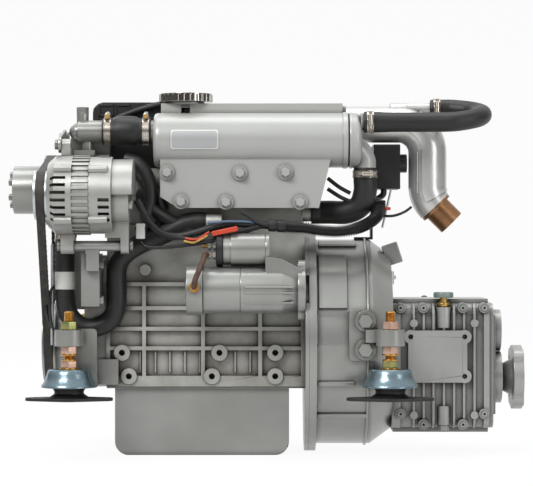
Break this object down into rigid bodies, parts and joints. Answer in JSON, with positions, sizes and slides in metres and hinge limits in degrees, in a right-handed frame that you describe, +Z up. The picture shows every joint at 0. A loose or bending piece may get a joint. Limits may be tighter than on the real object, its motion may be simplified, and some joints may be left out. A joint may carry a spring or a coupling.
{
  "type": "marine diesel engine",
  "caption": "Inboard marine diesel engine with heat exchanger, alternator, starter, water-cooled exhaust elbow, reversing gearbox and flexible feet.",
  "frame": {"origin": "centre of the outer face of the output coupling flange, on the output shaft axis", "axes": "+X along the crankshaft from the belt end to the output coupling, +Z up, the alternator and starter on the -Y side"},
  "size_m": [0.8348, 0.4666, 0.5797],
  "materials": {
    "bare_alloy": "satin",
    "black_plastic": "satin",
    "black_rubber": "matte",
    "bronze": "satin",
    "cast_paint": "matte",
    "copper_nickel": "satin",
    "grey_paint": "satin",
    "machined_steel": "satin",
    "piston_alloy": "satin",
    "polished_steel": "polished",
    "yellow_zinc": "satin",
    "zinc_cup": "satin"
  },
  "bodies": {
    "engine": {"alternator_brackets": "grey_paint", "alternator_front": "bare_alloy", "alternator_rear": "bare_alloy", "alternator_stator": "bare_alloy", "bell_housing": "grey_paint", "control_box": "black_plastic", "coolant_hose": "black_rubber", "cylinder_head": "cast_paint", "down_hose": "black_rubber", "drive_belt": "black_rubber", "engine_block": "cast_paint", "exchanger_body": "grey_paint", "exchanger_caps": "grey_paint", "exhaust_elbow": "grey_paint", "exhaust_outlet": "bronze", "front_brackets": "grey_paint", "gearbox_bolts": "machined_steel", "gearbox_case": "grey_paint", "gearbox_end_cover": "grey_paint", "gearbox_side_cover": "grey_paint", "hose_clamps": "machined_steel", "injection_pump": "cast_paint", "injector_lines": "machined_steel", "intake_manifold": "grey_paint", "loom_conduit": "black_plastic", "main_caps": "machined_steel", "manifold_bolts": "grey_paint", "mount_cups": "zinc_cup", "mount_rubbers": "black_rubber", "mount_studs": "yellow_zinc", "oil_filter": "black_plastic", "oil_pan": "grey_paint", "rear_brackets": "grey_paint", "rear_plate": "grey_paint", "riser_hose": "black_rubber", "rocker_cover": "black_plastic", "starter_body": "grey_paint", "starter_drive": "grey_paint", "starter_solenoid": "grey_paint", "thermostat_hose": "black_rubber", "thermostat_housing": "grey_paint", "timing_cover": "grey_paint", "tube_stack": "copper_nickel", "water_pump": "grey_paint", "wiring_loom": "black_plastic"},
    "crank_train": {"crankshaft": "machined_steel", "flywheel": "machined_steel", "crank_pulley": "grey_paint"},
    "camshaft_train": {"camshaft": "machined_steel"},
    "pump_drive": {"pump_pulley": "grey_paint"},
    "alternator_drive": {"alternator_rotor": "bare_alloy"},
    "piston_front": {"piston_1": "piston_alloy"},
    "piston_middle": {"piston_2": "piston_alloy"},
    "piston_rear": {"piston_3": "piston_alloy"},
    "output_drive": {"output_shaft": "grey_paint"},
    "shift_arm": {"shift_lever": "machined_steel"},
    "throttle_arm": {"throttle_lever": "machined_steel"},
    "stop_arm": {"stop_lever": "machined_steel"},
    "filler_cap": {"coolant_cap": "polished_steel"},
    "gearbox_dipstick": {"dipstick": "piston_alloy"}
  },
  "joints": [
    {"name": "crank", "type": "hinge", "parent": "engine", "child": "crank_train", "pos_m": [-0.513, 0, 0.0583], "axis": [1, 0, 0], "continuous": true},
    {"name": "cam", "type": "hinge", "parent": "engine", "child": "camshaft_train", "pos_m": [-0.513, 0.066, 0.1195], "axis": [1, 0, 0], "continuous": true},
    {"name": "pump", "type": "hinge", "parent": "engine", "child": "pump_drive", "pos_m": [-0.766, 0, 0.305], "axis": [1, 0, 0], "continuous": true},
    {"name": "alternator", "type": "hinge", "parent": "engine", "child": "alternator_drive", "pos_m": [-0.766, -0.17, 0.293], "axis": [1, 0, 0], "continuous": true},
    {"name": "piston_front_travel", "type": "slide", "parent": "engine", "child": "piston_front", "axis": [0, 0, 1], "range_m": [-0.078, 0]},
    {"name": "piston_middle_travel", "type": "slide", "parent": "engine", "child": "piston_middle", "axis": [0, 0, 1], "range_m": [-0.0141, 0.0638]},
    {"name": "piston_rear_travel", "type": "slide", "parent": "engine", "child": "piston_rear", "axis": [0, 0, 1], "range_m": [-0.0141, 0.0638]},
    {"name": "output", "type": "hinge", "parent": "engine", "child": "output_drive", "pos_m": [0, 0, 0], "axis": [1, 0, 0], "continuous": true},
    {"name": "gear_shift", "type": "hinge", "parent": "engine", "child": "shift_arm", "pos_m": [-0.1518, 0.09, 0.061], "axis": [0, 1, 0], "range_deg": [-30, 30]},
    {"name": "throttle", "type": "hinge", "parent": "engine", "child": "throttle_arm", "pos_m": [-0.575, 0.142, 0.188], "axis": [0, 1, 0], "range_deg": [-10, 35]},
    {"name": "stop", "type": "hinge", "parent": "engine", "child": "stop_arm", "pos_m": [-0.615, 0.142, 0.188], "axis": [0, 1, 0], "range_deg": [-30, 10]},
    {"name": "cap_turn", "type": "hinge", "parent": "engine", "child": "filler_cap", "pos_m": [-0.545, -0.072, 0.444], "axis": [0, 0, 1], "range_deg": [0, 90]},
    {"name": "dipstick_pull", "type": "slide", "parent": "engine", "child": "gearbox_dipstick", "axis": [0, 0, 1], "range_m": [0, 0.08]}
  ],
  "couplings": [
    {"joint": "cam", "follows": "crank", "ratio": -0.5},
    {"joint": "pump", "follows": "crank", "ratio": 1.2476},
    {"joint": "alternator", "follows": "crank", "ratio": 1.9265}
  ]
}
